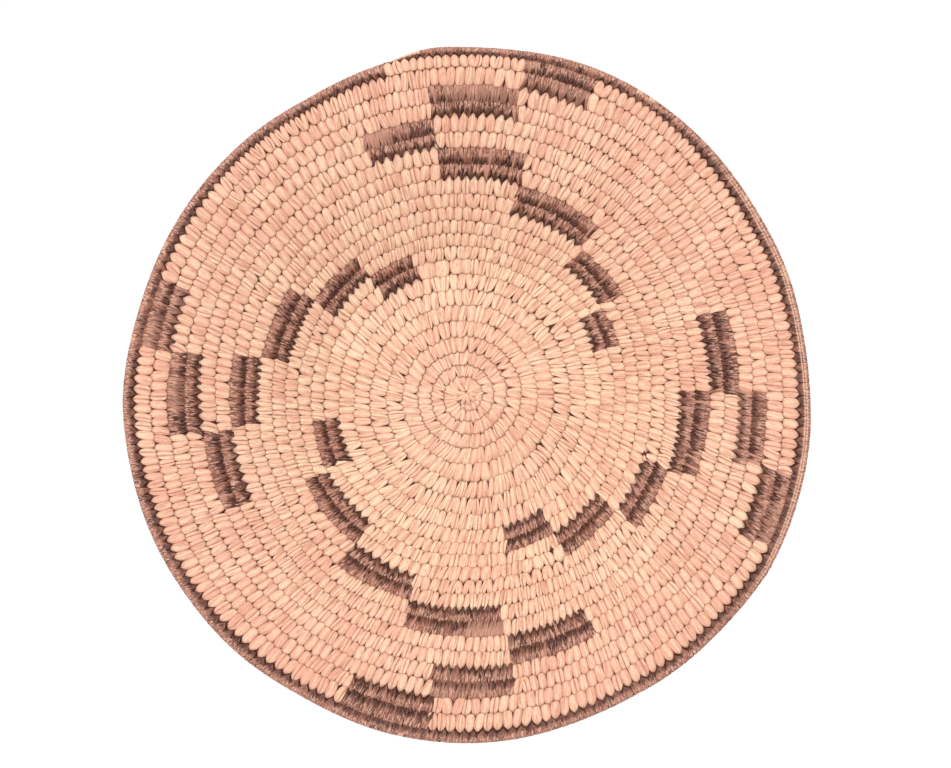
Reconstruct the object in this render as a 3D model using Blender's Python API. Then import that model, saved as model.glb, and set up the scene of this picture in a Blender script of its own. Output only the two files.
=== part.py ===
"""Coiled basket bowl: one grass bundle wound outwards in a spiral and sewn over with splints.

The bundle starts at a small knot in the middle of the base and ends in a thin tip on the rim. Pale
stitches cover it all the way. Where the stepped pattern and the rim are dark, the pale splint is carried
flat along the bundle, and dark stitches go round both. A run is one unbroken stretch of dark stitches.

Units are metres. The bowl stands on the floor at z = 0, opens upwards, and its knot is on the Z axis.
"""
import math

import bmesh
import bpy
import numpy as np

# The bowl's meridian, measured outwards along the coil from the axis
BASE_ARC = 0.0490
FOOT_ARC = 0.0180
WALL_ARC = 0.0850
FOOT_SLOPE = math.radians(38)
RIM_SLOPE = math.radians(16)
OVAL_SHARE = 0.0043
OVAL_ANGLE = math.radians(111)

# The coil
TURNS = 23.6
END_ANGLE = math.radians(104)
START_PITCH = 0.00413
ROW_PITCH = 0.00650
GROWING_TURNS = 4.06
COIL_GAP = 0.00050
RIM_COIL_WIDTH = 0.00480
RIM_THINNING_TURNS = 0.10
TIP_WIDTH = 0.00240
TIP_TURNS = 0.20

# The layers of a coil, from its face inwards
DARK_WALL = 0.00040
PALE_WALL = 0.00030
CLEARANCE = 0.00030
BUNDLE_SHARE = 0.55

# The starting knot
KNOT_RADIUS = 0.00210
KNOT_EDGE = 0.00060

# How finely the coil is cut into straight stretches: outer loops, and inner loops
STRETCHES_PER_LOOP = 20
STRETCHES_PER_INNER_LOOP = 10
INNER_TURNS = 2
COIL_SIDES = 6
BUNDLE_SIDES = 4
GAP_SAMPLES_PER_LOOP = 80
GAP_SAMPLES_ASIDE = 2
LEAST_STATION_STEP = 0.0001

# The stepped pattern. Each arm is a stair of seven blocks, two coils high. These angles, in degrees
# round the bowl, are where one block ends and the next begins: five blocks forwards, then two back.
ARM_STEPS = {
    "a": ((379.0, 393.5, 412.0, 436.0, 456.5, 471.5), (440.0, 427.0)),
    "b": ((111.0, 128.5, 148.0, 169.0, 187.5, 205.5), (171.5, 158.5)),
    "c": ((189.0, 207.5, 233.0, 254.5, 279.5, 299.0), (263.5, 248.0)),
    "d": ((285.5, 303.0, 323.0, 340.5, 361.0, 379.0), (346.5, 333.5)),
}
PATTERN_COILS = 14
DEGREES_PER_LOOP = 360

# Worked out from the values above
RIM_START = TURNS - 1
PATTERN_START = RIM_START - PATTERN_COILS
BUNDLE_END = TURNS - TIP_TURNS
FLAT_SHARE = math.cos(math.pi / COIL_SIDES)
FLAT_EDGE_SHARE = math.sin(math.pi / COIL_SIDES)
CORNER_SHARE = FLAT_SHARE / math.cos(math.pi / BUNDLE_SIDES - math.pi / COIL_SIDES)
BUNDLE_FLAT_SHARE = math.cos(math.pi / BUNDLE_SIDES)
START_RADIUS = (START_PITCH - COIL_GAP) / 2
START_ARC = START_RADIUS + (KNOT_RADIUS + CLEARANCE) / math.cos(math.pi / STRETCHES_PER_INNER_LOOP)

# Colours, as linear red, green and blue, and roughness
FINISHES = {
    "pale_splint": ((0.91, 0.53, 0.36), 0.70),
    "dark_splint": ((0.162, 0.069, 0.048), 0.62),
    "rim_splint": ((0.140, 0.062, 0.044), 0.60),
    "grass_bundle": ((0.42, 0.25, 0.13), 0.85),
    "knot_splint": ((0.87, 0.50, 0.33), 0.70),
}


def pitch_at(turn):
    """Distance from one coil to the next, which grows steadily over the first turns."""
    grown = np.clip(turn / GROWING_TURNS, 0, 1)
    return START_PITCH + (ROW_PITCH - START_PITCH) * grown


def arc_at(turn):
    """Length along the meridian from the axis to a coil of full width: the pitch, summed over the turns."""
    growing = np.minimum(turn, GROWING_TURNS)
    growth = (ROW_PITCH - START_PITCH) * growing**2 / (2 * GROWING_TURNS)
    steady = np.maximum(turn - GROWING_TURNS, 0)
    return START_ARC + START_PITCH * growing + growth + ROW_PITCH * steady


def full_radius(turn):
    """Half the width of a coil that fills its pitch but for the gap."""
    return (pitch_at(turn) - COIL_GAP) / 2


def coil_radius(turn):
    """Half the coil's width: full in the bowl, thinner in the rim, thinnest at the tip."""
    full = full_radius(turn)
    in_rim = np.clip((turn - RIM_START) / RIM_THINNING_TURNS, 0, 1)
    in_tip = np.clip((turn - BUNDLE_END) / TIP_TURNS, 0, 1)
    thinned = full + (RIM_COIL_WIDTH / 2 - full) * in_rim
    return thinned + (TIP_WIDTH - RIM_COIL_WIDTH) / 2 * in_tip


def follow_bend(slope, turned, length):
    """Outward and upward travel along a circular bend that starts at a slope and turns by an angle."""
    chord = length * np.sinc(turned / 2 / math.pi)
    return chord * np.cos(slope + turned / 2), chord * np.sin(slope + turned / 2)


def meridian(arc):
    """Distance from the axis, height and slope: a flat base, a foot bend, an easing wall, a straight rim."""
    on_base = np.clip(arc, 0, BASE_ARC)
    on_foot = np.clip(arc - BASE_ARC, 0, FOOT_ARC)
    on_wall = np.clip(arc - BASE_ARC - FOOT_ARC, 0, WALL_ARC)
    on_rim = np.maximum(arc - BASE_ARC - FOOT_ARC - WALL_ARC, 0)
    foot_turn = FOOT_SLOPE * on_foot / FOOT_ARC
    wall_turn = (RIM_SLOPE - FOOT_SLOPE) * on_wall / WALL_ARC
    foot_out, foot_up = follow_bend(0, foot_turn, on_foot)
    wall_out, wall_up = follow_bend(FOOT_SLOPE, wall_turn, on_wall)
    out = on_base + foot_out + wall_out + on_rim * math.cos(RIM_SLOPE)
    up = foot_up + wall_up + on_rim * math.sin(RIM_SLOPE)
    return out, up, foot_turn + wall_turn


def angle_at(turn):
    """Angle round the bowl, anticlockwise from +X."""
    return END_ANGLE + 2 * math.pi * (turn - TURNS)


def main_stations():
    """Turns where the coil's straight stretches meet, at the same angles in every loop."""
    fine = TURNS - np.arange(0, (TURNS - INNER_TURNS) * STRETCHES_PER_LOOP) / STRETCHES_PER_LOOP
    coarse_count = math.ceil(INNER_TURNS * STRETCHES_PER_INNER_LOOP)
    coarse = fine[-1] - 1 / STRETCHES_PER_LOOP - np.arange(0, coarse_count) / STRETCHES_PER_INNER_LOOP
    return np.concatenate([[0.0], np.sort(coarse[coarse > LEAST_STATION_STEP]), np.sort(fine)])


STATIONS = main_stations()


def coil_frame(turns):
    """Centre of the coil and its outward and upward directions, along the straight stretches.

    The coil is lifted by half its thickness, and a little more as it tilts on the edge of its lower flat.
    """
    full = full_radius(STATIONS)
    arc = arc_at(STATIONS) - full + coil_radius(STATIONS)
    out, up, slope = meridian(arc)
    angle = angle_at(STATIONS)
    out = out * (1 + OVAL_SHARE * np.cos(2 * (angle - OVAL_ANGLE)))
    ray = np.stack([np.cos(angle), np.sin(angle), np.zeros_like(angle)], axis=1)
    axis = np.array([0.0, 0.0, 1.0])
    lift = full * (FLAT_SHARE + FLAT_EDGE_SHARE * np.sin(slope))
    centre = ray * out[:, None] + axis * (up + lift)[:, None]
    outward = ray * np.cos(slope)[:, None] + axis * np.sin(slope)[:, None]
    upward = axis * np.cos(slope)[:, None] - ray * np.sin(slope)[:, None]
    return tuple(along_stretches(turns, values) for values in (centre, outward, upward))


def along_stretches(turns, values):
    """Values at any turns, read on the straight lines between the main stations."""
    if values.ndim == 1:
        return np.interp(turns, STATIONS, values)
    return np.stack([np.interp(turns, STATIONS, column) for column in values.T], axis=1)


def radius_on_stretches(turns):
    return along_stretches(turns, coil_radius(STATIONS))


def rings(turns, radii, sides, first_corner):
    """One ring of corners round the coil at each turn, as an array of rings, corners and coordinates."""
    centre, outward, upward = coil_frame(turns)
    corner = first_corner + 2 * math.pi * np.arange(sides) / sides
    across = np.cos(corner)[None, :, None] * outward[:, None, :]
    above = np.sin(corner)[None, :, None] * upward[:, None, :]
    return centre[:, None, :] + radii[:, None, None] * (across + above)


def coil_rings(turns, radii):
    """Rings with two flats along the wall, so that the coils of the base lie flat on the floor."""
    return rings(turns, radii, COIL_SIDES, 0.0)


def bundle_rings(turns, radii):
    return rings(turns, radii, BUNDLE_SIDES, math.pi / BUNDLE_SIDES)


def stations_between(first, last, extra=()):
    """Main stations from first to last with both ends and any extra ones, none nearly on another."""
    inside = STATIONS[(STATIONS > first) & (STATIONS < last)]
    wanted = sorted([*extra, first, last])
    kept = [turn for turn in wanted if np.abs(inside - turn).min(initial=1) > LEAST_STATION_STEP]
    inside = inside[(inside > first + LEAST_STATION_STEP) & (inside < last - LEAST_STATION_STEP)]
    ends = [turn for turn in (first, last) if turn not in kept]
    return np.unique(np.concatenate([inside, kept, ends]))


def clearance_in_turns(turn):
    """How much of a turn the clearance takes up, where the coil is at that turn."""
    out = meridian(arc_at(turn))[0]
    return CLEARANCE / (2 * math.pi * out)


def pattern_runs():
    """Name, first turn and last turn of each dark run, two for each block of the pattern."""
    runs = []
    for arm, (forwards, back) in ARM_STEPS.items():
        blocks = list(zip(forwards[:-1], forwards[1:]))
        blocks += [(back[0], forwards[-2]), (back[1], back[0])]
        for number, (begin, end) in enumerate(blocks):
            for side, coil in (("inner", 2 * number), ("outer", 2 * number + 1)):
                name = f"dark_run_{arm}{number + 1}_{side}"
                seam = PATTERN_START + coil - math.degrees(END_ANGLE) / DEGREES_PER_LOOP
                runs.append((name, seam + begin / DEGREES_PER_LOOP, seam + end / DEGREES_PER_LOOP))
    return runs


def cover_steps(covered):
    """Turns where dark stitches begin and stop covering the pale ones, and the share covered at each."""
    places, shares = [], []
    for first, last in sorted(covered):
        step_in = clearance_in_turns(first)
        step_out = clearance_in_turns(last)
        places += [first - 2 * step_in, first - step_in, last + step_out, last + 2 * step_out]
        shares += [0, 1, 1, 0]
    return places, shares


def pale_radius_under_dark(turns):
    return radius_on_stretches(turns) - (DARK_WALL + CLEARANCE) / FLAT_SHARE


def bore_radius(turns):
    """Corner radius of the hole in the pale stitching: the bundle's share, less where dark lies over it."""
    by_share = BUNDLE_SHARE * coil_radius(turns)
    covered = coil_radius(turns) - (DARK_WALL + CLEARANCE) / FLAT_SHARE
    by_wall = covered * CORNER_SHARE - PALE_WALL
    return np.where(turns < PATTERN_START, by_share, np.minimum(by_share, by_wall))


def tube_faces(mesh, ring_points):
    """Add rings of corners and the faces between them, and return the first and last ring."""
    loops = [[mesh.verts.new(point) for point in ring] for ring in ring_points.tolist()]
    for near, far in zip(loops[:-1], loops[1:]):
        for side in range(len(near)):
            following = (side + 1) % len(near)
            mesh.faces.new((near[side], near[following], far[following], far[side]))
    return loops[0], loops[-1]


def close_end(mesh, outer, inner, inner_lead_share=0.0):
    """Close a tube's end between its outside and its bore, with triangles taken in turn round both."""
    at_outer, at_inner = 0, 0
    while at_outer < len(outer) or at_inner < len(inner):
        near = outer[at_outer % len(outer)]
        far = inner[at_inner % len(inner)]
        outer_share = (at_outer + 1) / len(outer)
        inner_share = (at_inner + 1) / len(inner) + inner_lead_share
        if at_outer < len(outer) and outer_share <= inner_share:
            at_outer += 1
            following = outer[at_outer % len(outer)]
        else:
            at_inner += 1
            following = inner[at_inner % len(inner)]
        mesh.faces.new((near, far, following))


def finish_material(slot):
    """The slot's material, made the first time that it is asked for."""
    material = bpy.data.materials.get(slot)
    if material is None:
        colour, roughness = FINISHES[slot]
        material = bpy.data.materials.new(slot)
        material.use_nodes = True
        shader = material.node_tree.nodes["Principled BSDF"]
        shader.inputs["Base Color"].default_value = (*colour, 1)
        shader.inputs["Roughness"].default_value = roughness
        shader.inputs["Metallic"].default_value = 0
    return material


def add_piece(name, mesh, slot, parent, origin=(0, 0, 0)):
    """Turn a bmesh into a named object whose own origin is at the given point."""
    bmesh.ops.recalc_face_normals(mesh, faces=mesh.faces)
    bmesh.ops.translate(mesh, vec=[-value for value in origin], verts=mesh.verts)
    data = bpy.data.meshes.new(name)
    mesh.to_mesh(data)
    mesh.free()
    data.materials.append(finish_material(slot))
    piece = bpy.data.objects.new(name, data)
    piece.location = origin
    piece.parent = parent
    bpy.context.scene.collection.objects.link(piece)
    return piece


def make_foundation_bundle(parent):
    """The grass bundle: one unbroken tube from the knot to the start of the tip."""
    turns = stations_between(0.0, BUNDLE_END)
    mesh = bmesh.new()
    radii = bore_radius(turns) - CLEARANCE / BUNDLE_FLAT_SHARE
    start, end = tube_faces(mesh, bundle_rings(turns, radii))
    mesh.faces.new(start)
    mesh.faces.new(end)
    add_piece("foundation_bundle", mesh, "grass_bundle", parent)


def make_pale_stitching(parent, covered):
    """The pale stitches: a sleeve over the bundle, thinner wherever dark stitches go over it."""
    places, shares = cover_steps(covered)
    turns = stations_between(0.0, BUNDLE_END, [place for place in places if place < BUNDLE_END])
    open_radius = radius_on_stretches(turns)
    covered_share = np.interp(turns, places, shares)
    radii = open_radius + (pale_radius_under_dark(turns) - open_radius) * covered_share
    mesh = bmesh.new()
    outer_start, outer_end = tube_faces(mesh, coil_rings(turns, radii))
    bore_turns = stations_between(0.0, BUNDLE_END)
    bore_start, bore_end = tube_faces(mesh, bundle_rings(bore_turns, bore_radius(bore_turns)))
    lead_share = 1 / (2 * BUNDLE_SIDES)
    close_end(mesh, outer_start, bore_start, lead_share)
    close_end(mesh, outer_end, bore_end, lead_share)
    add_piece("light_stitching", mesh, "pale_splint", parent)


def make_dark_sleeve(name, first, last, bore_last, slot, parent):
    """Dark stitches from one turn to another, over the pale ones, with a bore that may stop short."""
    mesh = bmesh.new()
    turns = stations_between(first, last)
    bore_turns = stations_between(first, bore_last)
    bore = radius_on_stretches(bore_turns) - DARK_WALL / FLAT_SHARE
    outer_start, outer_end = tube_faces(mesh, coil_rings(turns, radius_on_stretches(turns)))
    bore_start, bore_end = tube_faces(mesh, coil_rings(bore_turns, bore))
    close_end(mesh, outer_start, bore_start)
    if bore_last < last:
        mesh.faces.new(outer_end)
        mesh.faces.new(bore_end)
    else:
        close_end(mesh, outer_end, bore_end)
    middle = coil_frame(np.array([(first + last) / 2]))[0][0]
    add_piece(name, mesh, slot, parent, middle.tolist())


def knot_outline():
    """Distance from the axis and angle of the knot's corners, all along the inner side of the first loop.

    The outline stops two clearances short of the coil's start and steps in there to the knot's radius.
    """
    stop = 1 - 2 * clearance_in_turns(1.0)
    turns = np.append(STATIONS[STATIONS < stop], stop)
    centre = coil_frame(turns)[0]
    inner_side = np.linalg.norm(centre[:, :2], axis=1) - radius_on_stretches(turns)
    reach = inner_side - CLEARANCE / math.cos(math.pi / STRETCHES_PER_INNER_LOOP)
    angle = np.arctan2(centre[:, 1], centre[:, 0])
    step_angle = angle_at(0.0) - 2 * CLEARANCE / KNOT_RADIUS
    return np.append(reach, KNOT_RADIUS), np.append(angle, step_angle)


def make_starting_knot(parent):
    """The knot that the bundle starts from: it fills the spiral's eye, flat below, its top edge cut back."""
    height = 2 * START_RADIUS * FLAT_SHARE
    reach, angle = knot_outline()
    profile = ((0.0, 0.0), (0.0, height - KNOT_EDGE), (KNOT_EDGE, height))
    mesh = bmesh.new()
    ray = np.stack([np.cos(angle), np.sin(angle), np.zeros_like(angle)], axis=1)
    axis = np.array([0.0, 0.0, 1.0])
    ring_points = np.stack([ray * (reach - inset)[:, None] + axis * up for inset, up in profile])
    foot, crown = tube_faces(mesh, ring_points)
    mesh.faces.new(foot)
    mesh.faces.new(crown)
    add_piece("starting_knot", mesh, "knot_splint", parent)


def least_gap():
    """Least distance between neighbouring loops of the coil, measured on points all along it."""
    turns = np.arange(0, TURNS * GAP_SAMPLES_PER_LOOP) / GAP_SAMPLES_PER_LOOP
    points = coil_rings(turns, radius_on_stretches(turns))
    least = math.inf
    for offset in range(-GAP_SAMPLES_ASIDE, GAP_SAMPLES_ASIDE + 1):
        ahead = points[GAP_SAMPLES_PER_LOOP + offset:]
        here = points[:len(ahead)]
        apart = here[:, :, None, :] - ahead[:, None, :, :]
        least = min(least, float(np.sqrt((apart**2).sum(axis=3)).min()))
    return least


def build():
    for item in list(bpy.data.objects):
        bpy.data.objects.remove(item, do_unlink=True)
    bowl = bpy.data.objects.new("basket_bowl", None)
    bpy.context.scene.collection.objects.link(bowl)
    runs = pattern_runs()
    covered = [(first, last) for name, first, last in runs] + [(RIM_START, TURNS)]
    make_starting_knot(bowl)
    make_foundation_bundle(bowl)
    make_pale_stitching(bowl, covered)
    for name, first, last in runs:
        make_dark_sleeve(name, first, last, last, "dark_splint", bowl)
    bore_last = BUNDLE_END + clearance_in_turns(BUNDLE_END)
    make_dark_sleeve("rim_stitching", RIM_START, TURNS, bore_last, "rim_splint", bowl)
    print(f"least gap between neighbouring loops of the coil: {least_gap():.5f} m")


build()
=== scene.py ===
"""Coiled basket bowl, dressed: every stitch is its own band of splint, bent round a coil of grass rods.

The coil spirals outwards and anticlockwise from a knot in the middle of the base. A stitch goes round one
coil, and its inner end dives between two stitches of the loop before, so the loops interlock like bricks.
Lengths are metres. A place along the coil is given in turns, counted from the knot.
"""

import math

import bpy
import numpy as np
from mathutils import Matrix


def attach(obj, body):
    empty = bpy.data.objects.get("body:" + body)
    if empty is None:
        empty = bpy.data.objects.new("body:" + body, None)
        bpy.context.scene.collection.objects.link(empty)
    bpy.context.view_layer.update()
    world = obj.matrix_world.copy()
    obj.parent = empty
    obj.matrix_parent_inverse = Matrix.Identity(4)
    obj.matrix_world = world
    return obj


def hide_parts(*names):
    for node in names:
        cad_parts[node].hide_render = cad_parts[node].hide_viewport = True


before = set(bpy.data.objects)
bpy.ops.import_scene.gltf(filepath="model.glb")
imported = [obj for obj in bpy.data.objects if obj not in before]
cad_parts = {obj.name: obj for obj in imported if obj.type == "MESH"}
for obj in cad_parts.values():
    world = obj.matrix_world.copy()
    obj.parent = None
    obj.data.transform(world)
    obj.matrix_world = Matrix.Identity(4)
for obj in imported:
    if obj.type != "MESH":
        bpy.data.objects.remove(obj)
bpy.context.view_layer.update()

FULL_ROUND = 2 * math.pi
DEGREES_ROUND = 360
HALF_TURN = 0.5

# The bowl's meridian, measured outwards along the coil from the axis
BASE_ARC = 0.0490
FOOT_ARC = 0.0180
WALL_ARC = 0.0850
FOOT_SLOPE = math.radians(38)
RIM_SLOPE = math.radians(16)
OVAL_SHARE = 0.0043
OVAL_ANGLE = math.radians(111)

# The coil
TURNS = 23.6
END_ANGLE = math.radians(104)
START_PITCH = 0.00413
ROW_PITCH = 0.00650
GROWING_TURNS = 4.06
START_ARC = 0.00434
COIL_GAP = 0.00050
RIM_COIL_WIDTH = 0.00420
RIM_THINNING_TURNS = 0.04
TIP_WIDTH = 0.00380
TIP_TURNS = 0.10
TAPER_TURNS = 0.030
TAPER_LEAST_SHARE = 0.06
PATTERN_COILS = 14
RIM_START = TURNS - 1
PATTERN_START = RIM_START - PATTERN_COILS
THICKNESS_SHARE = math.cos(math.radians(30))
TILT_SHARE = math.sin(math.radians(30))

# How far the hand-sewn rows stray from the true spiral: sizes, waves round the bowl, change from row to row
STRAYS = ((0.00030, 5, 0.40, 0.0), (0.00022, 9, -0.70, 1.3), (0.00016, 14, 1.10, 2.1))
STRAY_FULL_RADIUS = 0.060
# How far the last rows lie off a true circle, every 30 degrees from +X, and where that begins and is full
EDGE_SHIFTS = (-0.0013, -0.0014, 0.0003, -0.0011, -0.0010, -0.0012,
               0.0007, 0.0006, -0.0003, -0.0003, -0.0019, 0.0005)
EDGE_RADII = (0.100, 0.136)
# How far the rows lie beyond their even place, up the wall, every 30 degrees from +X: a line for each of the
# turns but the first and the last, where there is none
SLIDE_TURNS = (4.5, 9.2, 13.5, 18.8, 20.8, 22.0, 23.05, 23.2)
ROW_SLIDES = (
    (0.0018, 0.0023, 0.0001, 0.0007, 0.0007, 0.0016, 0.0013, 0.0025, 0.0021, 0.0018, 0.0035, 0.0020),
    (0.0009, 0.0010, 0.0006, -0.0005, -0.0001, 0.0006, 0.0007, 0.0016, 0.0013, 0.0004, 0.0014, 0.0016),
    (0.0010, 0.0018, 0.0020, 0.0018, 0.0014, 0.0014, 0.0009, -0.0003, 0.0003, 0.0006, 0.0005, 0.0024),
    (0.0006, 0.0004, 0.0019, 0.0023, 0.0015, 0.0006, 0.0012, 0.0000, 0.0006, 0.0008, 0.0002, 0.0010),
    (0.0010, 0.0013, 0.0020, 0.0040, 0.0010, 0.0010, 0.0013, -0.0003, 0.0003, 0.0006, 0.0006, 0.0014),
    (-0.0003, -0.0005, 0.0008, 0.0018, 0.0000, -0.0012, -0.0008, 0.0002, 0.0006, 0.0004, 0.0000, -0.0001),
)

# The stepped pattern. Each arm is a stair of seven blocks, two coils high: five blocks forwards, then two
# back. The angles, in degrees round the bowl, are where one block ends and the next begins.
ARM_STEPS = {
    "a": ((379.0, 393.5, 412.0, 436.0, 456.5, 471.5), (440.0, 427.0)),
    "b": ((111.0, 128.5, 148.0, 169.0, 187.5, 205.5), (171.5, 158.5)),
    "c": ((189.0, 207.5, 233.0, 254.5, 279.5, 299.0), (263.5, 248.0)),
    "d": ((285.5, 303.0, 323.0, 340.5, 361.0, 379.0), (346.5, 333.5)),
}
RUN_END_STAGGER = 0.55

# Kinds of stitch, and the run of one that is in no dark run
PALE, DARK, RIM = range(3)
NO_RUN = -1

# Dark stitches that have worn to light brown: run, first and last angle in degrees, how far they faded
WORN_RUNS = (
    ("a5_outer", 106.0, 113.0, 0.65),
    ("a6_outer", 80.0, 93.0, 0.45),
    ("a7_inner", 66.0, 74.0, 0.25),
    ("b6_outer", 176.0, 183.0, 0.30),
    ("b7_inner", 160.0, 166.0, 0.25),
    ("b7_outer", 165.0, 171.5, 0.35),
    ("c4_outer", 270.0, 280.5, 0.62),
    ("c6_inner", 263.0, 268.0, 0.18),
    ("c6_outer", 262.0, 275.4, 0.28),
    ("d6_inner", 345.0, 361.0, 0.20),
    ("d7_outer", 334.0, 341.0, 0.40),
)
FADE_VARIATION = (0.7, 1.2)
# A few dark stitches have faded by themselves
LONE_FADED_SHARE = 0.06
LONE_FADES = (0.2, 0.8)
# Worn places on the rim: middle angle and half width in degrees, how far they faded
WORN_RIM = ((21.0, 1.6, 0.5), (35.0, 0.8, 0.4), (57.8, 0.7, 0.9), (60.2, 0.7, 0.9), (153.0, 0.8, 0.6),
            (170.0, 0.6, 0.4), (259.5, 0.5, 0.8))
PALE_TIP_DEGREES = 6.5
# Where along its path a worn stitch of the rim begins to be pale, and where it stops
PALE_EDGE_RISE = (0.45, 0.75)
PALE_EDGE_FALL = (1.8, 2.2)
# The stretch of the rim that shows pale rungs, in degrees
LADDER_MIDDLE = 5.0
LADDER_REACH = 40.0
LADDER_FADING = 8.0

# Stitches: spacings along the coil, by the turn
SPACING_TURNS = (0.0, 2.0, 6.0, 12.0)
LIGHT_SPACINGS = (0.0021, 0.0027, 0.0031, 0.00345)
DARK_SPACING = 0.00128
RIM_SPACING = 0.00138
FIRST_STITCH = 0.02
LOOP_WIDEST_SHARE = 1.35
LOOP_CLOSEST_SHARE = 0.45
SHORT_ROW = 4
EVENING_PASSES = 8
LIGHT_JITTER_SHARE = 0.07
DARK_JITTER_SHARE = 0.22
END_ROOM_SHARE = 1.2
# How far a stitch may turn aside towards a hole, as a share of the pale spacing
LIGHT_SHIFT_SHARE = 0.25
DARK_SHIFT_SHARE = 0.60
# Height of a strand of each kind, and how much that varies
CROWNS = (0.00024, 0.00018, 0.00012)
CROWN_VARIATION = (0.7, 1.3)
# How many pale stitches are split in two strands, where across them, and how far the strands overlap
SPLIT_SHARE = 0.26
SPLIT_PLACES = (-0.3, 0.3)
SEAM_SHARE = -0.01
SPLIT_TONE_SPREAD = 0.2
# How far a stitch of each kind reaches out and in, as shares of its path, and how much that varies. Towards
# the middle every stitch comes to its full reach inwards.
REACHES = (1.0, 1.0, 0.92)
REACH_SPREADS = (0.04, 0.04, 0.012)
INNER_REACHES = (0.93, 1.0, 0.94)
INNER_REACH_SPREAD = 0.05
FULL_REACH_TURNS = (5.0, 9.0)
# Sideways travel of a stitch for each unit outwards, by the turn, its variation and the most that this may
# be, and its slow change round the bowl
LEAN_TURNS = (0.0, 2.0, 5.0, 10.0, 22.6)
LEANS = (-0.16, -0.18, -0.21, -0.16, -0.08)
LEAN_SPREADS = (0.20, 0.14, 0.10, 0.08, 0.07)
LEAN_LIMIT = 1.5
LEAN_WAVE = 0.07
LEAN_WAVE_ANGLE = math.radians(95)
STRAGGLER_LEAN = 0.19
# The first loop's inner ends reach this near to the axis. Its ways end by these turns.
EYE_RADII = (0.0008, 0.0026)
EYE_TURNS = (0.78, 1.04)
# The splint of the middle is a little pinker: what its tone gains, by the turn
MIDDLE_TONE_TURNS = (1.0, 5.0, 9.0)
MIDDLE_TONES = (0.75, 0.40, 0.0)

# A stitch's path round the coil, as shares of half its row's room and half the coil's thickness, and its
# width as a share of its room along the coil, for pale splint and for dark: from the hidden inner end over
# the face to the outer edge, then back underneath
PATH_SHARES = np.array([
    (-1.45, 0.32, 0.20, 0.26), (-1.39, 0.76, 0.48, 0.42), (-1.24, 0.96, 0.78, 0.62),
    (-1.00, 1.05, 0.97, 0.86), (-0.70, 1.08, 1.04, 1.04), (-0.20, 1.07, 1.05, 1.12),
    (0.32, 1.01, 1.04, 1.12), (0.62, 0.90, 0.94, 1.12), (0.88, 0.68, 0.66, 1.10), (1.10, 0.32, 0.20, 1.06),
    (1.03, -0.34, 0.60, 1.00), (0.72, -0.84, 0.92, 1.00), (0.00, -1.00, 1.00, 1.00),
    (-0.68, -0.90, 1.00, 1.00), (-1.18, -0.44, 0.60, 0.66),
])
LAST_FACE_POINT = 9
# A strand's cross-section, flat underneath: place across, and height as a share of the crown
SECTION_SHARES = np.array([(-1.0, -0.45), (-0.80, 0.55), (0.0, 1.0), (0.80, 0.55), (1.0, -0.45)])
# A strand is rounder towards the middle of its stitch: the share of its height that this takes, and the rest
ROUNDED_SHARE = 0.45
UNROUNDED_SHARE = 0.55
# Stitches fill their room more, and have fuller tips, towards the middle of the bowl
ROOM_SHARE = 1.02
MIDDLE_ROOM_SHARE = 1.18
FULL_TIP_SHARE = 0.4
FULL_TIP_TURNS = (2.0, 7.0)
# A pale stitch under a dark row has a longer and more pointed tip, from the first place out to the second
POINTED_SHARE = 0.10
POINTED_PLACES = (0.2, 1.0)
POINTED_REACH = 0.02
POINTED_LAST_TURN = 22.57
# Where along its path a stitch turns aside to its hole, fully at the first place, and how suddenly
ASIDE_PLACES = (-1.2, 0.2)
ASIDE_POWER = 1.5

# The grass rods that the splints cover
CORE_WIDTH_SHARES = (1.15, 0.96)
CORE_HEIGHT_SHARE = 0.66
CORE_RODS = 6
ROD_SHARE = 0.10
CORE_POINTS_PER_ROD = 4
CORE_RINGS_PER_LOOP = 84

# The knot in the middle: a low mound under crossing straps
MOUND_SIDES = 24
MOUND_LAST_TURN = 0.998
MOUND_PROFILE_SHARES = np.array([
    (0.02, 1.0), (0.35, 0.96), (0.7, 0.84), (0.92, 0.6), (1.0, 0.3), (0.95, 0.02), (0.5, 0.0), (0.02, 0.0),
])
MOUND_HEIGHT = 0.0024
MOUND_OVERLAP = 0.0009
MOUND_TONE = 0.4
# The straps across it: place of the middle, heading in degrees, length and width
STRAPS = (
    (0.0024, 0.0028, 42.0, 0.0046, 0.0019),
    (0.0003, 0.0040, 96.0, 0.0038, 0.0017),
    (-0.0017, 0.0034, 122.0, 0.0042, 0.0017),
    (0.0030, 0.0009, -4.0, 0.0044, 0.0018),
    (-0.0021, 0.0013, 172.0, 0.0050, 0.0019),
    (0.0024, -0.0008, -40.0, 0.0050, 0.0019),
    (-0.0019, -0.0004, 206.0, 0.0050, 0.0019),
    (-0.0007, -0.0012, -114.0, 0.0056, 0.0017),
    (0.0009, -0.0012, -80.0, 0.0056, 0.0018),
)
STRAP_TOP = 0.00345
STRAP_LAYER = 0.00006
STRAP_DIP = 0.0010
STRAP_TONES = (0.9, 1.5)
STRAP_CROWN = 0.00020
STRAP_STEPS = 9
# A strap dips and narrows by this power of the place along it, and at its ends the square of its width
# comes down to this share
STRAP_POWER = 4
STRAP_END_SHARE = 0.02

# Zones that the pale stitches are kept in, by the turn where each begins
ZONES = (("base", 0.0), ("foot", 8.0), ("lower_wall", 12.5), ("middle_wall", 16.2), ("upper_wall", 19.5))

# Fibres in splint, a coarse set and a fine one: widths, lengths in pale and in dark splint, shares of the
# surface's height
FIBRE_WIDTHS = (0.00060, 0.00028)
PALE_FIBRE_LENGTHS = (0.0080, 0.0050)
DARK_FIBRE_LENGTHS = (0.0036, 0.0022)
FIBRE_HEIGHT_SHARES = (0.6, 0.4)
FIBRE_DETAIL = 3.0
FIBRE_ROUGHNESS = 0.6
FIBRE_BUMP = 0.00022
# What gives each strand its own fibres, and the fine set others than the coarse one
TONE_SHUFFLE = 57.0
FINE_SHUFFLE = 0.37
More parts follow.
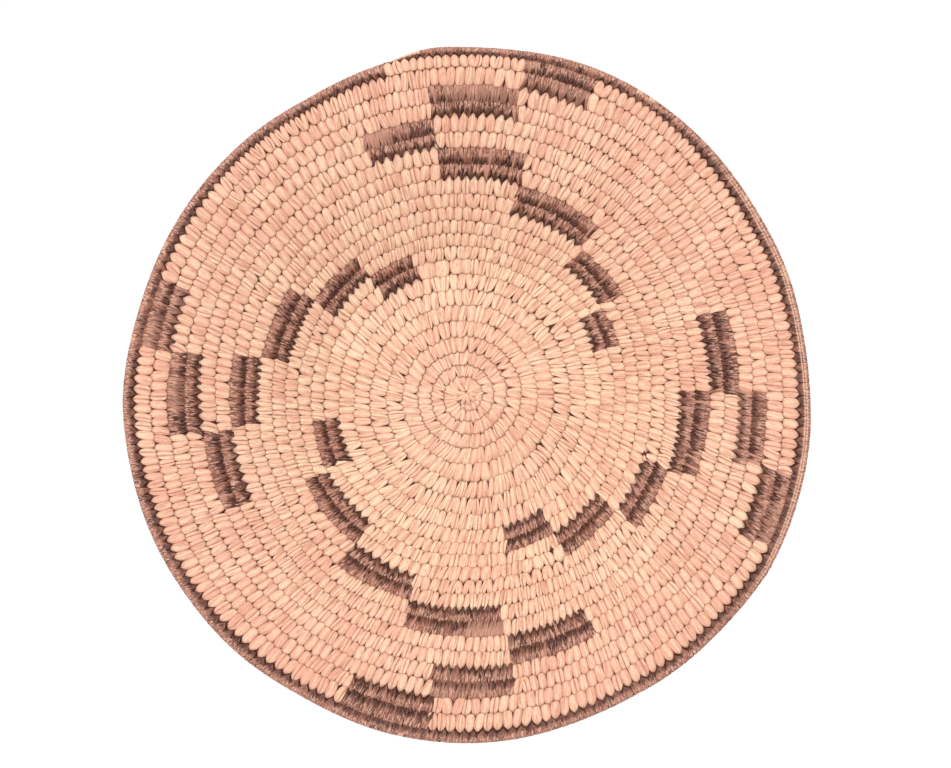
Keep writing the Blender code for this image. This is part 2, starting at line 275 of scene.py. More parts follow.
# Changes of colour over the bowl: blotches, patches, specks, and the height at which the change with height
# is full
BLOTCH_SIZE = 0.020
PATCH_SIZE = 0.0050
SPECK_SIZE = 0.0016
BLOTCH_DETAIL = 3.0
SPECK_DETAIL = 2.0
TONE_CHANGE_HEIGHT = 0.110

# Pale splint: how much each cause turns it from straw to pink, the edges' pink being painted shade, and what
# is taken off their sum
PINK_BY_TONE = 0.36
PINK_BY_BLOTCH = 0.9
PINK_BY_SPECK = 0.7
PINK_SHADE_BY_EDGE = 0.60
PINK_LESS = 0.91
PINK_SHADE_EDGE = (0.1, 1.0)
# Its darker fibres, coarse and fine: where in the noise they begin and are full, and how strong they are
SHADE_RANGES = ((0.52, 0.60), (0.54, 0.62))
SHADE_SHARES = (0.55, 0.60)
# Painted shade: at its inner end, at its outer end until it is well underneath, and along its edges
INNER_END_SHADE = (-1.12, -1.34)
OUTER_END_SHADE = (0.92, 1.10)
OUTER_END_SHADE_UNDER = (1.5, 1.2)
OUTER_END_SHADE_SHARE = 0.7
CREVICE_END_SHADE_SHARE = 0.80
CREVICE_EDGE_SHADE = (0.88, 1.0)
CREVICE_EDGE_SHADE_SHARE = 0.16

# Dark splint: how much each cause, painted light among them, turns it from deep brown to brown, and what is
# taken off their sum
BROWN_BY_PATCH = 2.8
BROWN_BY_HEIGHT = 0.5
PAINTED_LIGHT_BY_OUTER_HALF = 0.75
PAINTED_LIGHT_BY_OUTER_EDGE = 0.30
BROWN_LESS = 2.06
# Where along its path the painted light begins, in a row and in the rim, over what way, and its lit outer
# edge; before it lies painted shade
DARK_LIT_FROM = -0.85
RIM_LIT_FROM = -0.50
LIT_WAY = 1.25
LIT_EDGE = (0.2, 0.9)
# Its painted glints, coarse and fine: where in the noise they begin and are full, and how strong they are,
# also on the inner half
GLINT_RANGES = ((0.51, 0.57), (0.54, 0.59))
GLINT_SHARES = (0.50, 0.85)
INNER_GLINT_SHARE = 0.16
# How much of a stitch's fading shows, and what its fibres add to that
FADE_SHARE = 0.75
FADE_BY_FIBRE = 0.5
# Two pale rungs across a stitch of the rim: where each begins and ends along the path
RUNGS = (((-0.02, 0.10), (0.34, 0.22)), ((0.46, 0.56), (0.80, 0.70)))
RUNG_EDGE = (0.95, 0.60)
RUNG_BY_FIBRE = 0.7
RUNG_BY_PATCH = 0.8
RUNG_LESS = 0.10
# Painted shade in the grooves along its edges, less where it has faded
GROOVE_SHADE_EDGE = (0.70, 1.0)
GROOVE_SHADE_SHARE = 0.5
GROOVE_SHADE_FADING = 0.5

# Grass rods: how brown their grooves are, as painted shade, and their streaks
ROD_SHADE_BY_GROOVE = 0.6
ROD_BROWN_BY_STREAK = 0.6

# Roughness of each finish, the least and what its fibres add, and its shine
PALE_ROUGHNESSES = (0.55, 0.2)
DARK_ROUGHNESSES = (0.45, 0.25)
ROD_ROUGHNESSES = (0.75, 0.1)
PALE_SHINE = 0.25
DARK_SHINE = 0.22
ROD_SHINE = 0.2

# Colours, as linear red, green and blue
STRAW = (1.0, 0.728, 0.500)
PINK = (0.850, 0.440, 0.310)
SPLINT_SHADE = (0.60, 0.25, 0.160)
# Brown of the painted shade in the pale splint's crevices
CREVICE_SHADE_BROWN = (0.33, 0.125, 0.075)
# DARK_DEEP and RIM_DEEP are the splint's own darkest brown and also its painted shade inside the row and
# along its edges
DARK_DEEP = (0.060, 0.017, 0.010)
DARK_BROWN = (0.275, 0.103, 0.067)
# Colours of the painted glints on dark splint and rim
DARK_PAINTED_GLINT = (0.790, 0.440, 0.325)
DARK_FADED = (0.620, 0.310, 0.220)
RIM_DEEP = (0.096, 0.034, 0.023)
RIM_BROWN = (0.352, 0.136, 0.090)
RIM_PAINTED_GLINT = (0.860, 0.500, 0.380)
RIM_FADED = (0.900, 0.560, 0.400)
# The rods' colours are darkened as painted shade for the gaps between stitches
ROD_SHADED_STRAW = (0.20, 0.080, 0.048)
ROD_SHADED_BROWN = (0.09, 0.034, 0.021)
WHITE = (1.0, 1.0, 1.0)

# The sockets of a Mix node that are for colours
MIX_SHARE_SOCKET, MIX_FIRST_SOCKET, MIX_SECOND_SOCKET = 0, 6, 7
MIX_RESULT_SOCKET = 2

# The studio
FLOOR_SIZE = 8.0
FLOOR_COLOUR = (0.92, 0.92, 0.92)
LAMP_HEIGHT = 1.9
LAMP_ASIDE = (-0.35, 0.55)
LAMP_SIZE = 1.5
LAMP_POWER = 26.0
SKY_STRENGTH = 0.62
GLOW_STRENGTH = 1.03

# The camera, straight above the rim
IMAGE_WIDTH = 951
METRES_PER_PIXEL = 0.000406
CAMERA_HEIGHT = 1.2
RIM_HEIGHT = 0.0445
CAMERA_X = 0.0041
CAMERA_Y = 0.0052
SENSOR_WIDTH = 0.036
MILLIMETRES = 1000

rng = np.random.default_rng(23)


def pitch_at(turn):
    """Distance from one coil to the next: it grows steadily over the first turns, then stays."""
    return START_PITCH + (ROW_PITCH - START_PITCH) * np.clip(turn / GROWING_TURNS, 0, 1)


def arc_at(turn):
    """Length along the meridian to a full coil: the start, plus the pitch summed over the turns."""
    growing = np.minimum(turn, GROWING_TURNS)
    growth = (ROW_PITCH - START_PITCH) * growing**2 / (2 * GROWING_TURNS)
    return START_ARC + START_PITCH * growing + growth + ROW_PITCH * np.maximum(turn - GROWING_TURNS, 0)


def full_radius(turn):
    """Half the width of a coil that fills its pitch but for the gap."""
    return (pitch_at(turn) - COIL_GAP) / 2


def taper_at(turn):
    """1 all along the coil, and at the tip a quarter of a sine down to almost nothing."""
    return np.sin(math.pi / 2 * np.clip((TURNS - turn) / TAPER_TURNS, TAPER_LEAST_SHARE, 1))


def coil_radius(turn):
    """Half the coil's width: full in the bowl, thinner in the rim, down to a point at the tip."""
    full = full_radius(turn)
    in_rim = np.clip((turn - RIM_START) / RIM_THINNING_TURNS, 0, 1)
    in_tip = np.clip((turn - TURNS + TIP_TURNS) / TIP_TURNS, 0, 1)
    thinned = full + (RIM_COIL_WIDTH / 2 - full) * in_rim + (TIP_WIDTH - RIM_COIL_WIDTH) / 2 * in_tip
    return thinned * taper_at(turn)


def follow_bend(slope, turned, length):
    """Outward and upward travel along a circular bend: its chord, in the mean direction."""
    chord = length * np.sinc(turned / 2 / math.pi)
    return chord * np.cos(slope + turned / 2), chord * np.sin(slope + turned / 2)


def meridian(arc):
    """Distance from the axis, height and slope: a flat base, a foot bend, an easing wall, a straight rim."""
    on_base = np.clip(arc, 0, BASE_ARC)
    on_foot = np.clip(arc - BASE_ARC, 0, FOOT_ARC)
    on_wall = np.clip(arc - BASE_ARC - FOOT_ARC, 0, WALL_ARC)
    on_rim = np.maximum(arc - BASE_ARC - FOOT_ARC - WALL_ARC, 0)
    foot_turn = FOOT_SLOPE * on_foot / FOOT_ARC
    wall_turn = (RIM_SLOPE - FOOT_SLOPE) * on_wall / WALL_ARC
    foot_out, foot_up = follow_bend(0, foot_turn, on_foot)
    wall_out, wall_up = follow_bend(FOOT_SLOPE, wall_turn, on_wall)
    out = on_base + foot_out + wall_out + on_rim * math.cos(RIM_SLOPE)
    return out, foot_up + wall_up + on_rim * math.sin(RIM_SLOPE), foot_turn + wall_turn


def angle_at(turn):
    """Angle round the bowl, anticlockwise from +X."""
    return END_ANGLE + FULL_ROUND * (turn - TURNS)


def round_the_bowl(angle, values):
    """A measure given at even steps round the bowl, eased between them in straight lines."""
    return np.interp(angle, np.arange(len(values)) / len(values) * FULL_ROUND, values, period=FULL_ROUND)


def slide_at(turn, angle):
    """How far a row lies beyond its even place, up the wall, at an angle round the bowl.

    It is eased in straight lines between the turns and the angles where it is given.
    """
    weights = np.eye(len(SLIDE_TURNS))[1:-1]
    return sum(np.interp(turn, SLIDE_TURNS, weight) * round_the_bowl(angle, slides)
               for weight, slides in zip(weights, ROW_SLIDES))


def side_slides(turn):
    """How far a row's inner and outer sides slide: each is half a turn away along the coil."""
    angle = angle_at(turn)
    return slide_at(turn - HALF_TURN, angle), slide_at(turn + HALF_TURN, angle)


def row_room(turn):
    """Half the room of a row: half its coil and its gap, plus half of what its sides slide apart."""
    inner, outer = side_slides(turn)
    return coil_radius(turn) + (COIL_GAP + outer - inner) / 2


def on_meridian(turn):
    """Distance from the axis, height and slope of the coil's centre line, before it is lifted.

    A thinner coil lies against the coil before, and the tip closes the gap to it. A row slides by the mean
    of what its two sides slide.
    """
    arc = arc_at(turn) - full_radius(turn) + coil_radius(turn) - COIL_GAP * (1 - taper_at(turn))
    inner, outer = side_slides(turn)
    return meridian(arc + (inner + outer) / 2)


def stray(angle, turn, out):
    """How far a row lies off the true spiral: three slow waves round the bowl, fading towards the middle.

    The last rows also follow the bowl's own slightly uneven outline.
    """
    waves = sum(size * np.sin(count * angle + change * turn + start) for size, count, change, start in STRAYS)
    uneven = round_the_bowl(angle, EDGE_SHIFTS) * np.interp(out, EDGE_RADII, (0, 1))
    return waves * np.clip(out / STRAY_FULL_RADIUS, 0, 1) + uneven


def coil_frame(turn):
    """Centre, outward and upward directions of the coil at any array of turns, with a last axis of three.

    The centre is on the meridian, raised by half the coil's thickness, on a ray that goes once round each
    turn. Outward follows the meridian, and upward is square to it.
    """
    out, up, slope = on_meridian(turn)
    angle = angle_at(turn)
    out = out * (1 + OVAL_SHARE * np.cos(2 * (angle - OVAL_ANGLE))) + stray(angle, turn, out)
    lift = full_radius(turn) * (THICKNESS_SHARE + TILT_SHARE * np.sin(slope))
    ray = np.stack([np.cos(angle), np.sin(angle), np.zeros_like(angle)], axis=-1)
    axis = np.array([0.0, 0.0, 1.0])
    centre = ray * out[..., None] + axis * (up + lift)[..., None]
    outward = ray * np.cos(slope)[..., None] + axis * np.sin(slope)[..., None]
    upward = axis * np.cos(slope)[..., None] - ray * np.sin(slope)[..., None]
    return centre, outward, upward


def loop_at(turn):
    """Length of the coil's loop: once round at the distance from the axis there."""
    return FULL_ROUND * on_meridian(turn)[0]


def in_turns(length, turn):
    """A length along the coil as a share of its loop there."""
    return length / loop_at(turn)


def lean_at(turn):
    """Sideways travel of a stitch for each unit outwards: by the turn, plus a slow wave once a loop."""
    return np.interp(turn, LEAN_TURNS, LEANS) + LEAN_WAVE * np.cos(angle_at(turn) - LEAN_WAVE_ANGLE)


def drift_at(turn):
    """How far a stitch lies past the hole its inner end dives into, in turns: its lean times the pitch."""
    return in_turns(lean_at(turn) * pitch_at(turn), turn)


def light_spacing(turn):
    """Distance from one pale stitch to the next, eased between the turns where it is given."""
    return np.interp(turn, SPACING_TURNS, LIGHT_SPACINGS)


def light_lattice():
    """Turns of the pale stitches, all along the coil.

    The first loop has them evenly. Later each lies midway between two of the loop before, plus the drift,
    and one more goes in wherever that leaves too wide a space.
    """
    turns = [FIRST_STITCH]
    below = 0
    while turns[-1] < RIM_START:
        last = turns[-1]
        step = float(in_turns(light_spacing(last), last))
        wanted = last + step
        if wanted > 1 + turns[0]:
            moved = 1 + float(drift_at(wanted))
            while (turns[below] + turns[below + 1]) / 2 + moved < last + LOOP_CLOSEST_SHARE * step:
                below += 1
            wanted = (turns[below] + turns[below + 1]) / 2 + moved
            if wanted - last > LOOP_WIDEST_SHARE * step:
                wanted = (last + wanted) / 2
        turns.append(wanted)
    return np.array(turns)


def pale_stretch(lattice, first, last):
    """Pale stitches between two borders: the lattice's, more next to a border that they leave bare, eased."""
    step = float(in_turns(light_spacing(first), first))
    room = LOOP_CLOSEST_SHARE * step
    turns = lattice[(lattice > first + room) & (lattice < last - room)]
    if len(turns) < SHORT_ROW:
        return even_turns(first, last, max(round((last - first) / step), 1))
    while turns[0] - first > step:
        turns = np.insert(turns, 0, (first + turns[0]) / 2)
    while last - turns[-1] > step:
        turns = np.append(turns, (turns[-1] + last) / 2)
    return evened(turns, first, last)


def evened(turns, first, last):
    """Stitches between two borders, eased a few times towards the middle of their neighbours."""
    for _ in range(EVENING_PASSES):
        padded = np.concatenate([[2 * first - turns[0]], turns, [2 * last - turns[-1]]])
        turns = (padded[:-2] + 2 * turns + padded[2:]) / 4
    return turns


def even_turns(first, last, count):
    """The middles of as many equal steps between two borders."""
    return first + (np.arange(count) + HALF_TURN) / count * (last - first)


def row(turns, first, last, jitter_share, **facts):
    """A stretch of stitches between two borders. Each has the room halfway to its neighbours."""
    turns = turns + rng.uniform(-1, 1, len(turns)) * jitter_share * (last - first) / len(turns)
    borders = np.concatenate([[first], (turns[:-1] + turns[1:]) / 2, [last]])
    made = {"turn": turns, "left": turns - borders[:-1], "right": borders[1:] - turns}
    made["left"][0] *= END_ROOM_SHARE
    made["right"][-1] *= END_ROOM_SHARE
    return made | {key: np.full(len(turns), value) for key, value in facts.items()}


def dark_runs():
    """Name, first and last turn of each unbroken run of dark stitches, in order along the coil."""
    runs = []
    for arm, (forwards, back) in ARM_STEPS.items():
        blocks = list(zip(forwards[:-1], forwards[1:])) + [(back[0], forwards[-2]), (back[1], back[0])]
        for number, (begin, end) in enumerate(blocks):
            for side, coil in (("inner", 2 * number), ("outer", 2 * number + 1)):
                begin_shift, end_shift = rng.uniform(-RUN_END_STAGGER, RUN_END_STAGGER, 2)
                seam = PATTERN_START + coil - END_ANGLE / FULL_ROUND
                first = seam + math.radians(begin + begin_shift) / FULL_ROUND
                last = seam + math.radians(end + end_shift) / FULL_ROUND
                runs.append((f"{arm}{number + 1}_{side}", first, last))
    return sorted(runs, key=lambda run: run[1])


def lay_out_stitches(runs):
    """Every stitch of the bowl in one table: pale ones between the dark runs, dark ones in them, the rim."""
    lattice = light_lattice()
    borders = [0.0]
    for _, first, last in runs:
        borders += [first, last]
    borders.append(RIM_START)
    rows = []
    for first, last in zip(borders[0::2], borders[1::2]):
        turns = pale_stretch(lattice, first, last)
        rows.append(row(turns, first, last, LIGHT_JITTER_SHARE, kind=PALE, run=NO_RUN))
    for number, (_, first, last) in enumerate(runs):
        turns = even_turns(first, last, round((last - first) / float(in_turns(DARK_SPACING, first))))
        rows.append(row(turns, first, last, DARK_JITTER_SHARE, kind=DARK, run=number))
    turns = even_turns(RIM_START, TURNS, round(1 / float(in_turns(RIM_SPACING, RIM_START))))
    rows.append(row(turns, RIM_START, TURNS, DARK_JITTER_SHARE, kind=RIM, run=NO_RUN))
    table = {key: np.concatenate([part[key] for part in rows]) for key in rows[0]}
    order = np.argsort(table["turn"])
    return {key: values[order] for key, values in table.items()}


def hole_shift(table):
    """How far each inner end turns aside to reach the nearest hole in the loop before, in turns."""
    turn = table["turn"]
    holes = turn + table["right"] + 1
    holes = holes + drift_at(holes)
    after = np.clip(np.searchsorted(holes, turn), 1, len(holes) - 1)
    before_gap = holes[after - 1] - turn
    after_gap = holes[after] - turn
    nearest = np.where(np.abs(before_gap) < np.abs(after_gap), before_gap, after_gap)
    limit = np.where(table["kind"] == PALE, LIGHT_SHIFT_SHARE, DARK_SHIFT_SHARE)
    limit = limit * in_turns(light_spacing(turn), turn)
    return np.where(turn > EYE_TURNS[1], np.clip(nearest, -limit, limit), 0)


def fade_of(table, runs):
    """How far each dark stitch has faded, and how pale its outer edge is: by its angle, run and chance."""
    angle = np.degrees(angle_at(table["turn"])) % DEGREES_ROUND
    in_rim = table["kind"] == RIM
    fade = np.zeros(len(angle))
    numbers = {name: number for number, (name, _, _) in enumerate(runs)}
    for name, begin, end, amount in WORN_RUNS:
        inside = (table["run"] == numbers[name]) & (angle > begin) & (angle < end)
        fade[inside] = amount * rng.uniform(*FADE_VARIATION, inside.sum())
    lone = (table["kind"] == DARK) & (rng.random(len(angle)) < LONE_FADED_SHARE)
    fade[lone] = np.maximum(fade[lone], rng.uniform(*LONE_FADES, lone.sum()))
    from_tip = np.degrees((TURNS - table["turn"]) * FULL_ROUND)
    pale_edge = (in_rim & (from_tip < PALE_TIP_DEGREES)) * 1.0
    for middle, half, amount in WORN_RIM:
        pale_edge[in_rim & (np.abs(angle - middle) < half)] = amount
    return fade, pale_edge


def shape_stitches(table, runs):
    """Add each stitch's own shift, lean, crown, reach, tone and wear to the table."""
    turn, kind, run = table["turn"], table["kind"], table["run"]
    count = len(turn)
    table["shift"] = hole_shift(table)
    run_end = (kind == DARK) & ((run != np.roll(run, 1)) | (run != np.roll(run, -1)))
    spread = np.where(run_end, STRAGGLER_LEAN, np.interp(turn, LEAN_TURNS, LEAN_SPREADS))
    table["lean"] = lean_at(turn) + np.clip(rng.normal(0, 1, count), -LEAN_LIMIT, LEAN_LIMIT) * spread
    table["crown"] = np.array(CROWNS)[kind] * rng.uniform(*CROWN_VARIATION, count)
    inner_reach = np.array(INNER_REACHES)[kind]
    inner_reach = inner_reach + (1 - inner_reach) * np.interp(turn, FULL_REACH_TURNS, (1, 0))
    table["reach_in"] = rng.normal(1.0, INNER_REACH_SPREAD, count) * inner_reach
    table["reach_out"] = np.array(REACHES)[kind] + rng.normal(0, 1, count) * np.array(REACH_SPREADS)[kind]
    beyond = np.clip(np.searchsorted(turn, turn + 1), 0, count - 1)
    table["pointed"] = ((kind == PALE) & (kind[beyond] != PALE) & (turn < POINTED_LAST_TURN)) * 1.0
    table["reach_out"] += table["pointed"] * POINTED_REACH
    table["eye"] = rng.uniform(*EYE_RADII, count)
    table["tone"] = rng.random(count) + np.interp(turn, MIDDLE_TONE_TURNS, MIDDLE_TONES)
    table["fade"], table["pale_edge"] = fade_of(table, runs)
    half_round = DEGREES_ROUND / 2
    aside = (np.degrees(angle_at(turn)) - LADDER_MIDDLE + half_round) % DEGREES_ROUND - half_round
    table["ladder"] = (kind == RIM) * np.clip((LADDER_REACH - np.abs(aside)) / LADDER_FADING, 0, 1)
    return split_stitches(table)


def split_stitches(table):
    """The table with some pale stitches in two strands. low and high are a strand's sides, from -1 to 1."""
    count = len(table["turn"])
    table["low"] = np.full(count, -1.0)
    table["high"] = np.full(count, 1.0)
    split = (table["kind"] == PALE) & (rng.random(count) < SPLIT_SHARE)
    seam = rng.uniform(*SPLIT_PLACES, count)
    halves = {key: values[split].copy() for key, values in table.items()}
    halves["low"] = seam[split] + SEAM_SHARE
    halves["tone"] = halves["tone"] + rng.normal(0, SPLIT_TONE_SPREAD, split.sum())
    table["high"][split] = seam[split] - SEAM_SHARE
    return {key: np.concatenate([table[key], halves[key]]) for key in table}


def places_across(table):
    """Each section point's place across its stitch, half its strand's span, and the room there in turns.

    The place is -1 at the stitch's left border and 1 at its right one. It is the middle of the strand, plus
    half its span times the section's place.
    """
    middle = (table["high"] + table["low"]) / 2
    half = (table["high"] - table["low"]) / 2
    place = middle[:, None] + half[:, None] * SECTION_SHARES[:, 0]
    return place, half, np.where(place < 0, table["left"][:, None], table["right"][:, None])


def width_shares(table):
    """Width of each stitch at each path point, as a share of its room along the coil.

    It is the path's width for the stitch's kind. What it lacks to 1 is partly filled at the outer end
    towards the middle of the bowl, and wholly in the eye. A pointed tip narrows steadily.
    """
    out_shares, _, pale_widths, dark_widths = PATH_SHARES.T
    widths = np.where(table["kind"][:, None] == PALE, pale_widths, dark_widths)
    full_tip = np.interp(table["turn"], FULL_TIP_TURNS, (FULL_TIP_SHARE, 0))[:, None] * (out_shares > 0)
    widths = widths + (1 - widths) * full_tip
    pointed = table["pointed"][:, None] * np.interp(out_shares, POINTED_PLACES, (0, POINTED_SHARE))
    widths = widths * (1 - pointed)
    in_eye = np.interp(table["turn"], EYE_TURNS, (1, 0))
    return widths + np.maximum(1 - widths, 0) * in_eye[:, None]


def reached_shares(table):
    """How far out each stitch is at each path point, as a share of half its row's room.

    The path is stretched by the reach out on its outer half and by the reach in on its inner half. In the
    eye the reach in is what brings the end to its distance from the axis.
    """
    out_shares = PATH_SHARES[:, 0]
    in_eye = np.interp(table["turn"], EYE_TURNS, (1, 0))
    eye_reach = (on_meridian(table["turn"])[0] - table["eye"]) / row_room(table["turn"]) / -out_shares.min()
    reach_in = table["reach_in"] + np.maximum(eye_reach - table["reach_in"], 0) * in_eye
    return np.where(out_shares < 0, out_shares * reach_in[:, None], out_shares * table["reach_out"][:, None])


def stitch_points(table):
    """Corners of every stitch, as an array of stitches, path points, section points and coordinates.

    A corner starts on the coil's centre line at the stitch's turn plus its sideways place, which is its
    place across times the room and the path's width, plus the lean and the turn towards the hole. From
    there it goes out and up by the path's shares of half the row's room and half the coil's thickness, and
    off the path by the crown times the section's height.
    """
    turn = table["turn"]
    half_width = row_room(turn)
    half_thickness = coil_radius(turn) * THICKNESS_SHARE - table["crown"]
    out_shares, up_shares = PATH_SHARES[:, :2].T
    widths = width_shares(table)
    outs = reached_shares(table)
    place, half, room = places_across(table)
    room = room * np.interp(turn, FULL_TIP_TURNS, (MIDDLE_ROOM_SHARE, ROOM_SHARE))[:, None]
    across = place[:, None, :] * room[:, None, :] * widths[:, :, None]
    aside = table["shift"][:, None] * np.interp(out_shares, ASIDE_PLACES, (1, 0)) ** ASIDE_POWER
    aside = aside + table["lean"][:, None] * outs * in_turns(half_width, turn)[:, None]
    centre, outward, upward = coil_frame(turn[:, None, None] + across + aside[:, :, None])
    path = np.stack([out_shares, up_shares * THICKNESS_SHARE], axis=1)
    ahead = np.roll(path, -1, axis=0) - np.roll(path, 1, axis=0)
    normal = np.stack([-ahead[:, 1], ahead[:, 0]], axis=1) / np.linalg.norm(ahead, axis=1)[:, None]
    rounding = (1 - place**2) * ROUNDED_SHARE + UNROUNDED_SHARE * half[:, None]
    height = table["crown"][:, None, None] * np.sqrt(widths)[:, :, None]
    height = height * (SECTION_SHARES[:, 1] * rounding)[:, None, :]
    out = outs[:, :, None] * half_width[:, None, None] + normal[None, :, None, 0] * height
    up = up_shares[None, :, None] * half_thickness[:, None, None] + normal[None, :, None, 1] * height
    return centre + outward * out[..., None] + upward * up[..., None]


def stitch_marks(table):
    """What the finishes read at each corner: place across and along, edge, way round, tone, wear, ladder.

    The way round is the path's share outwards, which underneath is counted on from the outer edge.
    """
    out_shares = PATH_SHARES[:, 0]
    sections = SECTION_SHARES[:, 0]
    steps = np.linalg.norm(np.diff(PATH_SHARES[:, :2], axis=0), axis=1)
    along = np.concatenate([[0], np.cumsum(steps)]) * full_radius(TURNS)
    face = np.arange(len(out_shares)) <= LAST_FACE_POINT
    way_round = np.where(face, out_shares, 2 * out_shares.max() - out_shares)
    place, _, room = places_across(table)
    across = place * room * loop_at(table["turn"])[:, None]
    outer = np.interp(way_round, PALE_EDGE_RISE, (0, 1)) * np.interp(way_round, PALE_EDGE_FALL, (1, 0))
    fade = table["fade"][:, None] + table["pale_edge"][:, None] * outer
    marks = {
        "across": across[:, None, :],
        "along": along[None, :, None],
        "edge": np.abs(sections)[None, None, :],
        "way_round": way_round[None, :, None],
        "tone": table["tone"][:, None, None],
        "fade": fade[:, :, None],
        "ladder": table["ladder"][:, None, None],
    }
    shape = (len(across), len(out_shares), len(sections))
    return {name: np.broadcast_to(values, shape) for name, values in marks.items()}


def numbered(points):
    """The numbers of an array of corners, in the array's own shape."""
    return np.arange(points[..., 0].size).reshape(points.shape[:-1])


def band_faces(index):
    """Quads of many closed bands, from their corners' numbers by band, point along and point round."""
    ahead = np.roll(index, -1, axis=1)
    quads = np.stack([index, ahead, np.roll(ahead, -1, axis=2), np.roll(index, -1, axis=2)], axis=-1)
    return quads.reshape(-1, 4).tolist()


def tube_faces(index):
    """Quads round a tube and a face at each end, from its corners' numbers by ring and place round."""
    beside = np.roll(index, -1, axis=1)
    quads = np.stack([index[:-1], index[1:], beside[1:], beside[:-1]], axis=-1)
    return quads.reshape(-1, 4).tolist() + [index[0].tolist(), index[-1][::-1].tolist()]


def add_piece(name, points, faces, marks, finish):
    """A smooth mesh object at the origin that rides on the bowl, from corners, faces and marks."""
    mesh = bpy.data.meshes.new(name)
    mesh.from_pydata(points.reshape(-1, 3).tolist(), [], faces)
    for mark, values in marks.items():
        layer = mesh.attributes.new(mark, "FLOAT", "POINT")
        layer.data.foreach_set("value", np.ascontiguousarray(values, np.float32).ravel())
    mesh.shade_smooth()
    mesh.materials.append(finish)
    piece = bpy.data.objects.new(name, mesh)
    bpy.context.scene.collection.objects.link(piece)
    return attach(piece, "root")


def add_stitches(name, table, chosen, finish, node):
    """One piece of the stitches chosen from the table, in place of a node of the frame."""
    part = {key: values[chosen] for key, values in table.items()}
    points = stitch_points(part)
    piece = add_piece(name, points, band_faces(numbered(points)), stitch_marks(part), finish)
    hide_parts(node)


def add_grass_rods(finish):
    """The bundle: a tube along the whole coil whose outline is a ring of round rods.

    At each station the outline is the coil's flattened round, swelled by the size of a cosine that has one
    lobe for each rod. It is a little wider than the row's room in the bowl, so that no gap shows through,
    and a little narrower in the rim.
    """
    turn = np.linspace(0, TURNS, int(TURNS * CORE_RINGS_PER_LOOP))
    count = CORE_RODS * CORE_POINTS_PER_ROD
    shape = (len(turn), count)
    angle = FULL_ROUND * np.arange(count) / count
    lobe = 1 - ROD_SHARE + ROD_SHARE * np.abs(np.cos(CORE_RODS * angle / 2))
    centre, outward, upward = coil_frame(np.broadcast_to(turn[:, None], shape))
    width_share = np.interp(turn, (RIM_START - RIM_THINNING_TURNS, RIM_START), CORE_WIDTH_SHARES)
    width = (width_share * row_room(turn) * taper_at(turn))[:, None] * lobe * np.cos(angle)
    height = CORE_HEIGHT_SHARE * THICKNESS_SHARE * coil_radius(turn)[:, None] * lobe * np.sin(angle)
    points = centre + outward * width[..., None] + upward * height[..., None]
    along = np.concatenate([[0], np.cumsum(np.diff(turn) * loop_at(turn)[1:])])
    marks = {
        "across": np.broadcast_to(angle * full_radius(TURNS), shape),
        "along": np.broadcast_to(along[:, None], shape),
        "edge": np.broadcast_to((lobe.max() - lobe) / (lobe.max() - lobe.min()), shape),
    }
    piece = add_piece("grass_rods", points, tube_faces(numbered(points)), marks, finish)
    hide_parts("foundation_bundle")


def knot_mound():
    """Corners and marks of the mound: its outline is the first loop's inner side, and a little more."""
    turn = np.append(np.arange(MOUND_SIDES) / MOUND_SIDES, MOUND_LAST_TURN)
    reach = on_meridian(turn)[0] - full_radius(turn) + MOUND_OVERLAP
    angle = angle_at(turn)
    shares, ups = MOUND_PROFILE_SHARES.T
    out = shares[:, None] * reach
    zero = np.zeros(out.shape)
    points = np.stack([out * np.cos(angle), out * np.sin(angle), ups[:, None] * MOUND_HEIGHT + zero], axis=-1)
    marks = {"across": out, "along": angle * reach + zero, "edge": zero, "way_round": zero,
             "tone": zero + MOUND_TONE, "fade": zero, "ladder": zero}
    return points, marks


def knot_straps():
    """Corners and marks of the straps: bows that dip at both ends, with the stitches' cross-section."""
    sections, heights = SECTION_SHARES.T
    east, north, heading, length, width = np.array(STRAPS).T
    ahead = np.stack([np.cos(np.radians(heading)), np.sin(np.radians(heading)), 0 * heading], axis=-1)
    beside = np.stack([-ahead[:, 1], ahead[:, 0], 0 * heading], axis=-1)
    place = np.linspace(-1, 1, STRAP_STEPS)
    half_width = width[:, None] / 2 * np.sqrt(1 + STRAP_END_SHARE - place**STRAP_POWER)
    across = sections * half_width[:, :, None]
    along = place * length[:, None] / 2
    points = ahead[:, None, None] * along[..., None, None] + beside[:, None, None] * across[..., None]
    points[..., 0] += east[:, None, None]
    points[..., 1] += north[:, None, None]
    top = STRAP_TOP + STRAP_LAYER * np.arange(len(STRAPS))[:, None] - STRAP_DIP * place**STRAP_POWER
    points[..., 2] += top[..., None] + heights * STRAP_CROWN
    zero = np.zeros(across.shape)
    tone = np.linspace(*STRAP_TONES, len(STRAPS))[:, None, None] + zero
    marks = {"across": across, "along": along[..., None] + zero, "edge": np.abs(sections) + zero,
             "way_round": zero, "tone": tone, "fade": zero, "ladder": zero}
    return points, marks


def add_knot(finish):
    """The start of the coil: a mound that fills the spiral's eye, and short straps laid across its middle."""
    mound, mound_marks = knot_mound()
    straps, strap_marks = knot_straps()
    faces = tube_faces(numbered(mound))
    for index in numbered(straps) + mound[..., 0].size:
        faces += tube_faces(index)
    points = np.concatenate([mound.reshape(-1, 3), straps.reshape(-1, 3)])
    marks = {key: np.concatenate([mound_marks[key].ravel(), strap_marks[key].ravel()]) for key in mound_marks}
    piece = add_piece("knot_straps", points, faces, marks, finish)
    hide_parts("starting_knot")


